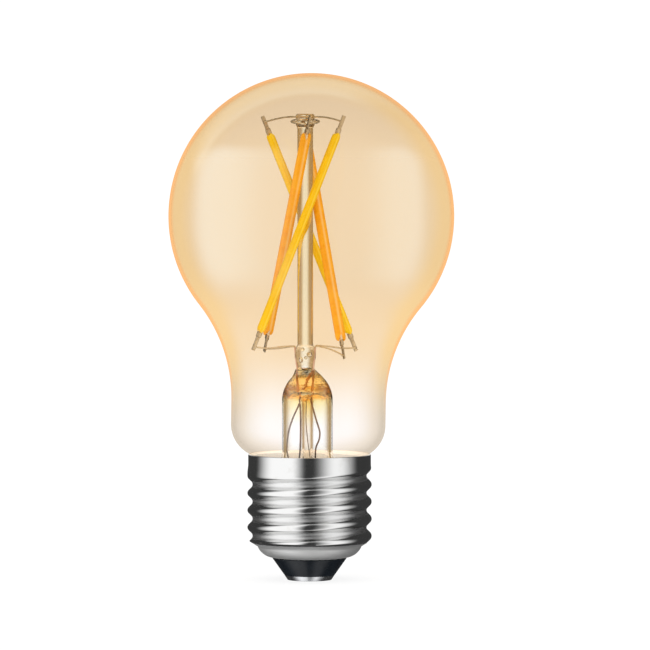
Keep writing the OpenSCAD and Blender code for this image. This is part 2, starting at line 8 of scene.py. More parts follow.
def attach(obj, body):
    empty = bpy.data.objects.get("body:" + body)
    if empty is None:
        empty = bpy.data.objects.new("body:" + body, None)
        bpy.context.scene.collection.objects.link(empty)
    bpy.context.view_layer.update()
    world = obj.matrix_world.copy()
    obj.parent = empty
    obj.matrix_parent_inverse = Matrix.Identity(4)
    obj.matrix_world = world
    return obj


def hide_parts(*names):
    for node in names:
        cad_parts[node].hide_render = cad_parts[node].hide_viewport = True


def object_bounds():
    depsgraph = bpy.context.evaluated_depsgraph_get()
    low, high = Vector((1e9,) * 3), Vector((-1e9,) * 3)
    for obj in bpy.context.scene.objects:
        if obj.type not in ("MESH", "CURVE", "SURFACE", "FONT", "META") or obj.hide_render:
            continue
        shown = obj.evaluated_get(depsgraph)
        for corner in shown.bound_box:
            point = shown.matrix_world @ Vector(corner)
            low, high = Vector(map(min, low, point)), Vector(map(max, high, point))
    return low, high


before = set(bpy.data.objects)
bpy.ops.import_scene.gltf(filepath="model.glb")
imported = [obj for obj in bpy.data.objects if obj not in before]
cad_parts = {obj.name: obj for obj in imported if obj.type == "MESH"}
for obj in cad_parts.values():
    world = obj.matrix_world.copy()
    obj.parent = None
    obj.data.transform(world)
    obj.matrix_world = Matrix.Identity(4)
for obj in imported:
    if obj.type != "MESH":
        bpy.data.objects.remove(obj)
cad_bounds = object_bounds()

# Shapes are worked out in millimetres, in the CAD's own frame, and make_piece turns them into metres.
MM = 0.001

# Globe: outline, wall and lean from the cap's axis
GLOBE_R = 30.1
GLOBE_Z = 76.8
NECK_R = 16.3
WAIST_R = 31.9
GLASS_T = 0.5
GLOBE_LEAN = 0.86
SHOULDER_R = 7
SHOULDER_Z = 32.8
COLLAR_R = 11.2
SEAL_Z = 21.4

# Stem: the flare sits a little left of the cap's axis and the pillar a little more
FLARE_X = -0.45
PILLAR_X = -0.9
FLARE_R = 5.35
FLARE_T = 0.8
FLARE_TURN_Z = 27.3
DOME_R = 7
DOME_Z = 37.8
DOME_A = 45
CAVITY_R = 2.1
CAVITY_Z = 37.7
PILLAR_R = 1.65
PILLAR_TOP_Z = 95.6
PRESS_TOP_Z = 49.5
EXHAUST_R = 1.25
EXHAUST_BORE_R = 0.85
EXHAUST_BORE_TOP_Z = 38.4
EXHAUST_TIP_Z = 17.0
# The button's body over and under its lobes, and its top
BUTTON_R = 1.95
BUTTON_TOP_Z = 98.3
# Upper end of the cone between the press and the dome
CONE_TOP_R = 2.35
CONE_TOP_Z = 44.05
# Outlines of (radius, height): the button from the pillar up, and the press from the pillar down
BUTTON_LINE = [
    (PILLAR_R, PILLAR_TOP_Z - 0.6), (1.72, PILLAR_TOP_Z - 0.1), (1.88, 95.78), (BUTTON_R, 96.0), (2.05, 96.2),
    (2.6, 96.3), (2.95, 96.45), (3.1, 96.7), (2.95, 96.95), (2.6, 97.1), (2.05, 97.2), (BUTTON_R, 97.4),
    (BUTTON_R, 97.9), (1.88, 98.15), (1.7, 98.28), (1.3, BUTTON_TOP_Z)]
PRESS_LINE = [
    (1.64, PRESS_TOP_Z + 0.3), (1.72, 49.45), (1.93, 49.1), (2.15, 48.5), (2.25, 47.7), (2.2, 46.9),
    (2.02, 46.2), (1.86, 45.6), (1.8, 45.1), (1.87, 44.7), (2.1, 44.35)]
# Middle and half-size of each bubble in the press, with its X counted from the pillar's axis
BUBBLES = [
    ((0.75, -0.9, 47.6), (0.55, 0.5, 0.55)), ((-0.75, -0.8, 46.6), (0.4, 0.4, 0.6)),
    ((0.1, -1.2, 47.0), (0.32, 0.3, 0.3)), ((-0.3, 0.6, 48.3), (0.25, 0.22, 0.3))]

# Filaments: upper and lower end of each, named by where the upper end is
FILAMENTS = {
    "cool_left": ((-9.9, 0, 97.8), (9.9, 8.8, 47.9)),
    "cool_right": ((7.3, 0, 97.9), (-11.8, -8.8, 49)),
    "warm_front": ((0.1, -8.5, 98), (-9.65, 10.7, 47.6)),
    "warm_back": ((-1.6, 8.5, 98), (7.3, -10.7, 47.3)),
}
COAT_W = 1.7
COAT_T = 2.3
TAB_L = 3.9
TAB_W = 0.85
TAB_T = 0.25
CLIP_W = 1.1
CLIP_T = 0.55
STRIP_BARE = 0.8
# Distances from a tab's end to its dimple and to the weld of its wire
DIMPLE = 2.35
TOP_WELD = 1.3
FOOT_WELD = 0.7

# Wires
WIRE_D = 0.34
SEAL_R = 0.2
SEALS = (((-3.1, -0.4, 49.1), (-1.95, -1.6, 39.2)), ((1.2, -0.8, 49.1), (0.3, -1.45, 39.2)),
         ((1.2, 0.9, 49.1), (-0.8, 1.85, 39.2)))

# Screw cap
CREST_R = 13.12
THREAD_DEPTH = 1.08
THREAD_PITCH = 3.629
SKIRT_R = 12.95
RIM_Z = 26.6
SHEET_T = 0.3
ARC_R = 0.9
CREST_Z = 20.15
BOWL_CR = 7.6
BOWL_Z = 8.4
BOWL_R = 3.63
BOWL_END_A = -21
BOWL_SLOPE = 1.6
BOWL_LIP_R = BOWL_CR + BOWL_R * math.cos(math.radians(BOWL_END_A))
BOWL_LIP_Z = BOWL_Z + BOWL_R * math.sin(math.radians(BOWL_END_A))
# The insulator's foot, top and hole, which the contact fills
INSULATOR_FOOT_Z = 1.0
INSULATOR_TOP_Z = 6.6
INSULATOR_HOLE_R = 1.2


# -------------------- shapes

def arc(centre_r, centre_z, radius, start, end, steps):
    """steps + 1 points along an arc in the radius and height plane, with its angles in degrees."""
    angles = [math.radians(start + (end - start) * i / steps) for i in range(steps + 1)]
    return [(centre_r + radius * math.cos(a), centre_z + radius * math.sin(a)) for a in angles]


def ramp(low, high, x):
    """0 below low, 1 above high, and a smooth rise between them."""
    t = min(1.0, max(0.0, (x - low) / (high - low)))
    return t * t * (3 - 2 * t)


def turn(sides):
    """Equal angles round a whole turn, in radians."""
    return [2 * math.pi * k / sides for k in range(sides)]


def grid(rings, wrap=False):
    """The points and faces of a surface through rings that have the same number of points."""
    count = len(rings[0])
    faces = []
    for i in range(len(rings) if wrap else len(rings) - 1):
        a = i * count
        b = (i + 1) % len(rings) * count
        for k in range(count):
            n = (k + 1) % count
            faces.append((a + k, a + n, b + n, b + k))
    return [Vector(p) for ring in rings for p in ring], faces


def revolve(outline, centre=(0, 0), sides=96):
    """A closed outline of (radius, height) turned round a vertical axis."""
    return grid([[(centre[0] + r * math.cos(a), centre[1] + r * math.sin(a), z) for r, z in outline]
                 for a in turn(sides)], wrap=True)


def smooth(points, steps=8):
    """A smooth route through the given points, with steps from each point to the next."""
    p = [Vector(q) for q in points]
    last = len(p) - 1
    route = []
    for i in range(last):
        a, b, c, d = p[max(i - 1, 0)], p[i], p[i + 1], p[min(i + 2, last)]
        for k in range(steps):
            t = k / steps
            route.append(b + (c - a) * t / 2 + (2 * a - 5 * b + 4 * c - d) * t * t / 2
                         + (3 * b - a - 3 * c + d) * t * t * t / 2)
    return route + [p[last]]


def smooth_line(outline, steps):
    """A smooth outline of (radius, height) through the given points."""
    return [(p.x, p.y) for p in smooth([(r, z, 0) for r, z in outline], steps)]


def sweep(points, diameter, across, sides=14, end_bulge=0.5):
    """A round wire along a smooth route, with domed ends."""
    route = smooth(points)
    last = len(route) - 1
    across = Vector(across)
    radius = diameter / 2
    rings = []

    def ring(centre, along, size):
        u = along.cross(across).normalized()
        v = u.cross(along)
        return [centre + size * (u * math.cos(a) + v * math.sin(a)) for a in turn(sides)]

    def dome(centre, along, outwards):
        rows = []
        for a in (90, 70, 45, 20):
            away = outwards * end_bulge * radius * math.sin(math.radians(a))
            rows.append(ring(centre + along * away, along, radius * math.cos(math.radians(a))))
        return rows

    along = (route[1] - route[0]).normalized()
    rings += dome(route[0], along, -1)
    for i, p in enumerate(route):
        along = (route[min(i + 1, last)] - route[max(i - 1, 0)]).normalized()
        rings.append(ring(p, along, radius))
    rings += reversed(dome(route[last], along, 1))
    return grid(rings)


def rod(ends, radius, sides=16):
    """A straight rod between two points, with domed ends."""
    a, b = Vector(ends[0]), Vector(ends[1])
    return sweep([a, a.lerp(b, 0.5), b], radius * 2, (0.3, 1, 0.1), sides)


def read(work):
    """The points and faces of a bmesh, which is then freed."""
    work.verts.index_update()
    shape = [v.co.copy() for v in work.verts], [tuple(v.index for v in f.verts) for f in work.faces]
    work.free()
    return shape


def rounded_box(low, high, round_r, steps=2):
    """A box between two corners, with its edges rounded."""
    low, high = Vector(low), Vector(high)
    work = bmesh.new()
    bmesh.ops.create_cube(work, size=1)
    for v in work.verts:
        v.co = [(v.co[i] + 0.5) * (high[i] - low[i]) + low[i] for i in range(3)]
    bmesh.ops.bevel(work, geom=work.edges[:], offset=round_r, segments=steps, profile=0.5, affect="EDGES")
    return read(work)


def ball(centre, size, rows=10, sides=18):
    """An egg shape with a half-size along each axis."""
    rings = []
    for i in range(rows + 1):
        polar = math.pi * i / rows
        rings.append([(centre[0] + size[0] * math.sin(polar) * math.cos(a),
                       centre[1] + size[1] * math.sin(polar) * math.sin(a),
                       centre[2] + size[2] * math.cos(polar)) for a in turn(sides)])
    return grid(rings)


def placed(shape, matrix):
    """A shape moved by a matrix."""
    return [matrix @ Vector(p) for p in shape[0]], shape[1]


def add_shapes(work, shapes):
    """Adds shapes in millimetres to a bmesh in metres, and returns their faces."""
    added = []
    for points, faces in shapes:
        verts = [work.verts.new(Vector(p) * MM) for p in points]
        for face in faces:
            added.append(work.faces.new([verts[i] for i in face]))
    return added


def make_piece(name, shapes, finish, nodes, cavities=(), sharp=38):
    """One visible piece made of shapes, standing for CAD nodes. Cavities are bubbles shut inside it."""
    merge = 1e-8
    work = bmesh.new()
    add_shapes(work, shapes)
    bmesh.ops.remove_doubles(work, verts=work.verts[:], dist=merge)
    bmesh.ops.dissolve_degenerate(work, edges=work.edges[:], dist=merge)
    bmesh.ops.recalc_face_normals(work, faces=work.faces[:])
    inner = bmesh.new()
    add_shapes(inner, cavities)
    bmesh.ops.remove_doubles(inner, verts=inner.verts[:], dist=merge)
    bmesh.ops.recalc_face_normals(inner, faces=inner.faces[:])
    bmesh.ops.reverse_faces(inner, faces=inner.faces[:])
    cavity_mesh = bpy.data.meshes.new("cavities")
    inner.to_mesh(cavity_mesh)
    inner.free()
    work.from_mesh(cavity_mesh)
    bpy.data.meshes.remove(cavity_mesh)
    mesh = bpy.data.meshes.new(name)
    work.to_mesh(mesh)
    work.free()
    mesh.shade_smooth()
    mesh.set_sharp_from_angle(angle=math.radians(sharp))
    mesh.materials.append(FINISHES[finish])
    piece = bpy.data.objects.new(name, mesh)
    bpy.context.scene.collection.objects.link(piece)
    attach(piece, "root")
    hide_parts(*nodes)
    return piece


# -------------------- material nodes

def add_node(tree, kind, inputs=None, **settings):
    """A new node. A value of inputs is a plain value or another node's output."""
    made = tree.nodes.new(kind)
    for name, value in settings.items():
        setattr(made, name, value)
    for name, value in (inputs or {}).items():
        if isinstance(value, bpy.types.NodeSocket):
            tree.links.new(value, made.inputs[name])
        else:
            made.inputs[name].default_value = value
    return made


def maths(tree, operation, a, b=0.0):
    return add_node(tree, "ShaderNodeMath", {0: a, 1: b}, operation=operation).outputs[0]


def product(tree, *values):
    """Two or more values multiplied together."""
    total = values[0]
    for value in values[1:]:
        total = maths(tree, "MULTIPLY", total, value)
    return total


def axis(tree, place, letter):
    """A place's X, Y or Z."""
    return add_node(tree, "ShaderNodeSeparateXYZ", {0: place}).outputs[letter]


def even_step(tree, value, low, high):
    """0 at low and 1 at high, in a straight line between them."""
    return add_node(tree, "ShaderNodeMapRange", {0: value, 1: low, 2: high}).outputs[0]


def smooth_step(tree, value, low, high, start=0.0, end=1.0):
    """start below low, end above high, and a smooth change between them."""
    inputs = {"Value": value, "From Min": low, "From Max": high, "To Min": start, "To Max": end}
    return add_node(tree, "ShaderNodeMapRange", inputs, interpolation_type="SMOOTHSTEP").outputs[0]


def uneven(tree, grains, low, high):
    """A level between low and high that follows a grain."""
    return smooth_step(tree, grains, 0.3, 0.7, low, high)


def window(tree, value, low, low_soft, high, high_soft):
    """1 between low and high and 0 outside, with soft edges inside them."""
    rise = smooth_step(tree, value, low, low + low_soft)
    fall = smooth_step(tree, value, high - high_soft, high, 1.0, 0.0)
    return product(tree, rise, fall)


def mix_levels(tree, factor, a, b):
    """Value a at factor 0 and value b at factor 1."""
    return add_node(tree, "ShaderNodeMix", {0: factor, 2: a, 3: b}, data_type="FLOAT").outputs[0]


def mix_colours(tree, factor, a, b, blend="MIX"):
    """Colour a at factor 0 and colour b at factor 1."""
    colours = [c if isinstance(c, bpy.types.NodeSocket) else (*c, 1) for c in (a, b)]
    return add_node(tree, "ShaderNodeMix", {0: factor, 6: colours[0], 7: colours[1]},
                    data_type="RGBA", blend_type=blend).outputs[2]


def fade(tree, value, low, high, a, b):
    """Colour a below low, colour b above high, and a smooth change between them."""
    return mix_colours(tree, smooth_step(tree, value, low, high), a, b)


# Materials by plain name, since Blender adds a number to a name that the CAD has taken
FINISHES = {}


def new_material(name):
    """Adds an empty finish, and returns its node tree and the place of the shaded point in metres."""
    made = bpy.data.materials.new(name)
    made.use_nodes = True
    made.node_tree.nodes.clear()
    FINISHES[name] = made
    return made.node_tree, add_node(made.node_tree, "ShaderNodeTexCoord").outputs["Object"]


def output(tree, shader):
    add_node(tree, "ShaderNodeOutputMaterial", {"Surface": shader})


def stretched(tree, place, scale):
    """The place scaled along each axis, for a grain that runs one way."""
    return add_node(tree, "ShaderNodeMapping", {"Vector": place, "Scale": scale}).outputs[0]


def grain(tree, place, scale, detail=3.0, roughness=0.55):
    """A noise from 0 to 1, where scale is how many features there are to a metre."""
    inputs = {"Vector": place, "Scale": scale, "Detail": detail, "Roughness": roughness}
    return add_node(tree, "ShaderNodeTexNoise", inputs).outputs["Fac"]


def bumped(tree, height, strength, distance):
    """A normal bent by a height, where distance is how high it rises in metres."""
    inputs = {"Height": height, "Strength": strength, "Distance": distance}
    return add_node(tree, "ShaderNodeBump", inputs).outputs[0]


def principled(tree, colour, roughness, normal=None, **settings):
    """The main shader. Names of settings have _ for each space."""
    inputs = {"Base Color": colour if isinstance(colour, bpy.types.NodeSocket) else (*colour, 1),
              "Roughness": roughness}
    if normal:
        inputs["Normal"] = normal
    inputs.update({name.replace("_", " "): value for name, value in settings.items()})
    return add_node(tree, "ShaderNodeBsdfPrincipled", inputs).outputs[0]


# -------------------- materials

# Heights in metres where materials change: from the first to the second of each pair
FILM_Z = (0.033, 0.053)
CROWN_Z = (0.09, 0.104)
SHINE_Z = (0.055, 0.07)
DOME_PAINTED_AMBER_Z = (0.0385, 0.0432)
PINCHED_Z = (0.037, 0.0495)
BOWL_TOP_Z = (0.0075, 0.0095)
SKIRT_FOOT_Z = (0.0232, 0.0236)
# The stem's tint going up: clear flare, a gold and deep amber dome painted with the globe's amber light,
# clear press, faintly yellow pillar
STEM_TINTS = [
    (0.031, (0.99, 0.955, 0.9)), (0.0365, (0.98, 0.88, 0.6)), (0.0392, (0.97, 0.77, 0.36)),
    (0.0402, (0.94, 0.53, 0.12)), (0.0445, (0.94, 0.53, 0.12)), (0.0455, (0.98, 0.985, 0.965)),
    (0.0485, (0.98, 0.98, 0.95)), (0.051, (0.98, 0.93, 0.8))]
# Colour of the painted glow on the cement's far side and on the far half of the cap's rim
CEMENT_GLOW = (0.95, 0.93, 0.9, 1)


def glass_skin(tree, place, tint, height):
    """Thin glass that lets light straight through and mirrors a little of it: less on the neck than on
    the globe, and less on the far half than on the near half."""
    through = add_node(tree, "ShaderNodeBsdfTransparent", {"Color": tint}).outputs[0]
    ripple = bumped(tree, grain(tree, place, 60, 1), 0.05, 0.0005)
    look = {"Color": (0.42, 0.74, 1.0, 1), "Roughness": 0.0, "Normal": ripple}
    shine = add_node(tree, "ShaderNodeBsdfGlossy", look).outputs[0]
    fresnel = add_node(tree, "ShaderNodeFresnel", {"IOR": 1.45}).outputs[0]
    limit = smooth_step(tree, height, *SHINE_Z, 0.012, 0.05)
    near = smooth_step(tree, axis(tree, place, "Y"), -0.004, 0.004, 1.0, 0.3)
    mirrored = product(tree, maths(tree, "MINIMUM", fresnel, limit), near)
    return add_node(tree, "ShaderNodeMixShader", {0: mirrored, 1: through, 2: shine}).outputs[0]


def amber_glass():
    """The outer face of the globe, with an amber film that thins out down the neck, tints more where it's
    crossed at a slant and is a little darker on the crown."""
    tree, place = new_material("amber_glass")
    height = maths(tree, "ADD", axis(tree, place, "Z"), product(tree, grain(tree, place, 45, 2), 0.004))
    slant = add_node(tree, "ShaderNodeLayerWeight", {"Blend": 0.5}).outputs["Facing"]
    amber = fade(tree, slant, 0.38, 0.64, (0.95, 0.825, 0.657), (0.963, 0.806, 0.569))
    amber = fade(tree, slant, 0.72, 0.83, amber, (1.0, 0.73, 0.47))
    amber = mix_colours(tree, smooth_step(tree, height, *CROWN_Z), amber, (0.96, 0.957, 0.965), "MULTIPLY")
    clear = fade(tree, slant, 0.1, 0.5, (1.0, 0.965, 0.945), (0.92, 0.866, 0.8))
    clear = fade(tree, slant, 0.4, 0.75, clear, (0.81, 0.755, 0.685))
    tint = fade(tree, height, *FILM_Z, clear, amber)
    output(tree, glass_skin(tree, place, tint, height))


def bare_glass():
    """The inner face of the globe, which has no film."""
    tree, place = new_material("bare_glass")
    output(tree, glass_skin(tree, place, (1.0, 1.0, 1.0, 1), axis(tree, place, "Z")))


def colour_bands(tree, value, stops):
    """A colour that runs through (value, colour) stops. It sets off slowly from the first stop and nears
    the last slowly, so the stops between them lie a little off their values."""
    low, high = stops[0][0], stops[-1][0]
    ramp_node = add_node(tree, "ShaderNodeValToRGB", {"Fac": smooth_step(tree, value, low, high)})
    elements = ramp_node.color_ramp.elements
    while len(elements) < len(stops):
        elements.new(0.5)
    for element, (stop, colour) in zip(elements, stops):
        element.position = (stop - low) / (high - low)
        element.color = (*colour, 1)
    return ramp_node.outputs["Color"]


def stem_glass():
    """Solid drawn glass with faint lines along it, rippled where it was pinched round the seals. The dome and
    the cone up to the press carry painted amber light from the globe, deepest on the dome's shoulders."""
    tree, place = new_material("stem_glass")
    cloud = maths(tree, "SUBTRACT", grain(tree, place, 500, 2), 0.5)
    height = maths(tree, "ADD", axis(tree, place, "Z"), product(tree, cloud, 0.002))
    off = maths(tree, "ABSOLUTE", maths(tree, "SUBTRACT", axis(tree, place, "X"), FLARE_X * MM))
    # The dome's shoulders: painted amber light from the globe, deeper than on the rest of the dome
    shoulders = window(tree, height, DOME_PAINTED_AMBER_Z[0], 0.0011, DOME_PAINTED_AMBER_Z[1], 0.002)
    painted_amber = product(tree, smooth_step(tree, off, 0.0033, 0.0043), shoulders)
    tint = mix_colours(tree, painted_amber, colour_bands(tree, height, STEM_TINTS), (0.62, 0.22, 0.04))
    lines = grain(tree, stretched(tree, place, (1, 1, 0.03)), 1400, 2)
    waves = grain(tree, stretched(tree, place, (1, 1, 2.2)), 700, 2)
    pinched = window(tree, height, PINCHED_Z[0], 0.0025, PINCHED_Z[1], 0.002)
    relief = maths(tree, "ADD", product(tree, lines, 0.12), product(tree, waves, pinched, 8.0))
    normal = bumped(tree, relief, 1.0, 0.00002)
    output(tree, principled(tree, tint, 0.0, normal, IOR=1.5, Transmission_Weight=1.0))


def wire_metal(name, colour, dull_colour, roughness, metal=1.0):
    """Drawn wire: fine lines, and darker spots where it has oxidised."""
    tree, place = new_material(name)
    spots = smooth_step(tree, grain(tree, place, 900, 4), 0.45, 0.7)
    tint = mix_colours(tree, spots, colour, dull_colour)
    rough = uneven(tree, grain(tree, place, 2600, 3), roughness - 0.06, roughness + 0.1)
    normal = bumped(tree, grain(tree, place, 5200, 2), 0.2, 0.00002)
    output(tree, principled(tree, tint, rough, normal, Metallic=metal))


def phosphor_silicone(name, colour, deep_colour, pale_colour):
    """Translucent silicone full of phosphor grains, cured with a smooth skin and lit by a faint painted glow.
    It is paler over the strip's edges, and down the middle of a flat, where the strip shows through under a
    painted highlight.
    """
    tree, place = new_material(name)
    blotches = smooth_step(tree, grain(tree, place, 420, 3), 0.35, 0.65)
    tint = mix_colours(tree, blotches, colour, deep_colour)
    specks = smooth_step(tree, grain(tree, place, 9000, 1), 0.66, 0.8, 0.0, 0.35)
    tint = mix_colours(tree, specks, tint, deep_colour)
    # Paler where the strip shows through: along its edges, and down the middle of a flat together with a
    # painted highlight
    mark = add_node(tree, "ShaderNodeAttribute", attribute_name="strip_and_highlight_mark").outputs["Fac"]
    tint = mix_colours(tree, product(tree, mark, 0.8), tint, pale_colour)
    rough = uneven(tree, grain(tree, place, 1500, 2), 0.24, 0.36)
    normal = bumped(tree, grain(tree, place, 1100, 2), 0.22, 0.00005)
    # A faint painted glow in the coat's own colour, though the lamp is off
    output(tree, principled(tree, tint, rough, normal, IOR=1.41, Emission_Color=tint,
                            Emission_Strength=0.12))


def stamped_metal(name, colour, dull_colour, roughness, scale=1300.0):
    """Plated sheet: rolling lines, handling marks and a rougher grain."""
    tree, place = new_material(name)
    lines = grain(tree, stretched(tree, place, (1, 1, 0.12)), scale, 3)
    marks = smooth_step(tree, grain(tree, place, scale * 0.4, 4), 0.5, 0.75)
    tint = mix_colours(tree, marks, colour, dull_colour)
    rough = uneven(tree, lines, roughness - 0.05, roughness + 0.08)
    output(tree, principled(tree, tint, rough, bumped(tree, lines, 0.15, 0.00002), Metallic=1.0))


def cap_nickel():
    """Nickel on drawn brass: burnished on the skirt and the crests, where the rolls pressed it, and dull in
    the roots and on the bowl, with fine lines round the cap and a few soft marks. The far half of the rim is
    painted pale cream with a painted glow, so that it fades into the light seen through the glass."""
    tree, place = new_material("cap_nickel")
    x, y, z = (axis(tree, place, letter) for letter in "XYZ")
    radius = maths(tree, "SQRT", maths(tree, "ADD", product(tree, x, x), product(tree, y, y)))
    root_r = (CREST_R - THREAD_DEPTH) * MM
    drawn = grain(tree, stretched(tree, place, (0.05, 0.05, 1)), 2600, 3)
    marks = smooth_step(tree, grain(tree, place, 260, 4), 0.55, 0.75)
    crests = smooth_step(tree, radius, root_r + 0.2 * MM, root_r + 0.5 * MM)
    burnished = maths(tree, "MAXIMUM", crests, smooth_step(tree, z, *SKIRT_FOOT_Z))
    tint = mix_colours(tree, marks, (0.7, 0.7, 0.695), (0.64, 0.635, 0.62))
    bright = uneven(tree, drawn, 0.08, 0.13)
    bright = maths(tree, "ADD", bright, product(tree, marks, 0.03))
    dull = uneven(tree, drawn, 0.27, 0.35)
    dull = maths(tree, "ADD", dull, smooth_step(tree, z, *BOWL_TOP_Z, 0.25, 0.0))
    rough = mix_levels(tree, burnished, dull, bright)
    # Painted light: the far half of the rim is tinted pale cream, loses its metal and glows
    rim = smooth_step(tree, z, (RIM_Z - 0.14) * MM, (RIM_Z - 0.08) * MM)
    far_rim_glow = product(tree, rim, smooth_step(tree, y, -0.009, 0.002))
    tint = mix_colours(tree, far_rim_glow, tint, (0.92, 0.89, 0.83))
    metal = maths(tree, "SUBTRACT", 1.0, far_rim_glow)
    output(tree, principled(tree, tint, rough, bumped(tree, drawn, 0.08, 0.00002), Metallic=metal,
                            Emission_Color=CEMENT_GLOW, Emission_Strength=product(tree, far_rim_glow, 0.6)))


def cement():
    """Gritty cream cement, darkened towards its near side by painted shade and lit on its far side by a
    painted glow.
    """
    tree, place = new_material("cement")
    across = axis(tree, place, "Y")
    grit = grain(tree, place, 900, 3)
    tint = mix_colours(tree, grit, (0.88, 0.85, 0.78), (0.94, 0.91, 0.85))
    # Painted shade: darker towards the near side
    tint = fade(tree, across, -0.012, 0.0, (0.55, 0.51, 0.44), tint)
    # Painted light: a glow that grows towards the far side
    glow = smooth_step(tree, across, -0.009, 0.009, 0.02, 0.6)
    output(tree, principled(tree, tint, 0.85, bumped(tree, grit, 0.3, 0.00006),
                            Emission_Color=CEMENT_GLOW, Emission_Strength=glow))


def moulded(name, colour, light_colour, roughness, scale=700.0, bump=0.00003, **settings):
    """A moulded, pressed or lacquered surface with a mottled colour and a fine uneven skin."""
    tree, place = new_material(name)
    mottle = smooth_step(tree, grain(tree, place, scale, 4), 0.35, 0.7)
    tint = mix_colours(tree, mottle, colour, light_colour)
    skin = grain(tree, place, scale * 2.3, 3)
    rough = uneven(tree, skin, roughness - 0.05, roughness + 0.08)
    normal = bumped(tree, grain(tree, place, scale * 3.1, 3), 0.35, bump)
    output(tree, principled(tree, tint, rough, normal, **settings))


def board_mask(name, colour, track_colour):
    """Solder mask over copper tracks: straight runs show as a lighter, raised pattern."""
    tree, place = new_material(name)
    cells = add_node(tree, "ShaderNodeTexVoronoi", {"Vector": place, "Scale": 620.0, "Randomness": 0.85},
                     distance="CHEBYCHEV", feature="F1").outputs["Distance"]
    tracks = smooth_step(tree, cells, 0.36, 0.42)
    weave = grain(tree, stretched(tree, place, (1, 1, 0.35)), 4200, 2)
    tint = mix_colours(tree, tracks, colour, track_colour)
    tint = mix_colours(tree, product(tree, weave, 0.3), tint, (0.02, 0.05, 0.03))
    rough = uneven(tree, weave, 0.3, 0.42)
    output(tree, principled(tree, tint, rough, bumped(tree, tracks, 0.5, 0.00004)))


def banded(name, colour, bands, low, pitch):
    """A lacquered resistor body with coloured bands across X, the first one at low, in metres."""
    tree, place = new_material(name)
    tint = mix_colours(tree, grain(tree, place, 900, 3), colour, tuple(c * 0.8 for c in colour))
    for i, band in enumerate(bands):
        gap = maths(tree, "ABSOLUTE", maths(tree, "SUBTRACT", axis(tree, place, "X"), low + i * pitch))
        tint = mix_colours(tree, smooth_step(tree, gap, pitch * 0.2, pitch * 0.26, 1, 0), tint, band)
    rough = uneven(tree, grain(tree, place, 2000, 2), 0.25, 0.4)
    output(tree, principled(tree, tint, rough, bumped(tree, grain(tree, place, 2400, 2), 0.3, 0.00003)))


# Every finish of the lamp
amber_glass()
bare_glass()
stem_glass()
wire_metal("lead_wire", (0.86, 0.72, 0.48), (0.66, 0.52, 0.32), 0.45)
wire_metal("pale_wire", (0.95, 0.82, 0.6), (0.8, 0.66, 0.45), 0.5, 0.5)
wire_metal("brown_wire", (0.34, 0.21, 0.14), (0.18, 0.11, 0.08), 0.38)
wire_metal("seal_wire", (0.94, 0.66, 0.52), (0.78, 0.44, 0.32), 0.35, 0.6)
phosphor_silicone("cool_silicone", (1.0, 0.72, 0.0), (0.96, 0.66, 0.0), (1.0, 0.82, 0.1))
phosphor_silicone("warm_silicone", (1.0, 0.52, 0.02), (0.96, 0.44, 0.01), (1.0, 0.72, 0.3))
moulded("strip_ceramic", (0.86, 0.82, 0.72), (0.92, 0.9, 0.84), 0.45, 1500.0)
moulded("led_chip", (0.08, 0.16, 0.35), (0.16, 0.3, 0.5), 0.15, 3000.0, 0.00001)
stamped_metal("tab_metal", (0.72, 0.57, 0.37), (0.58, 0.45, 0.29), 0.42)
cap_nickel()
stamped_metal("contact_metal", (0.72, 0.73, 0.75), (0.6, 0.61, 0.62), 0.16, 900.0)
moulded("black_insulator", (0.004, 0.006, 0.009), (0.007, 0.01, 0.014), 0.2, 350.0,
        Specular_IOR_Level=0.3)
cement()
moulded("liner_plastic", (0.78, 0.78, 0.73), (0.86, 0.86, 0.82), 0.5, 500.0)
board_mask("board_green", (0.012, 0.09, 0.035), (0.03, 0.17, 0.06))
board_mask("board_blue", (0.01, 0.03, 0.11), (0.02, 0.07, 0.2))
moulded("capacitor_sleeve", (0.012, 0.014, 0.03), (0.02, 0.024, 0.05), 0.3, 400.0)
moulded("black_epoxy", (0.015, 0.015, 0.016), (0.03, 0.03, 0.031), 0.55, 1800.0)
moulded("ferrite", (0.03, 0.028, 0.03), (0.07, 0.065, 0.065), 0.6, 1600.0, 0.00006)
wire_metal("enamelled_copper", (0.72, 0.27, 0.09), (0.5, 0.15, 0.04), 0.22)
banded("resistor_lacquer", (0.06, 0.2, 0.16),
       ((0.35, 0.12, 0.02), (0.02, 0.02, 0.02), (0.5, 0.36, 0.05)), 0.0043, 0.0009)
stamped_metal("tinned_metal", (0.72, 0.72, 0.7), (0.55, 0.55, 0.54), 0.28, 1800.0)
moulded("chip_ceramic", (0.42, 0.27, 0.14), (0.55, 0.38, 0.22), 0.5, 1600.0)
moulded("red_insulation", (0.5, 0.02, 0.015), (0.58, 0.04, 0.03), 0.35, 900.0)
moulded("blue_insulation", (0.02, 0.05, 0.3), (0.03, 0.08, 0.38), 0.35, 900.0)


# -------------------- glass pieces

def lean():
    """The globe's lean, about the seal's centre."""
    pivot = Vector((FLARE_X, 0, SEAL_Z))
    turned = Matrix.Rotation(math.radians(GLOBE_LEAN), 4, "Y")
    return Matrix.Translation(pivot) @ turned @ Matrix.Translation(Vector((0, 0, -SEAL_Z)))


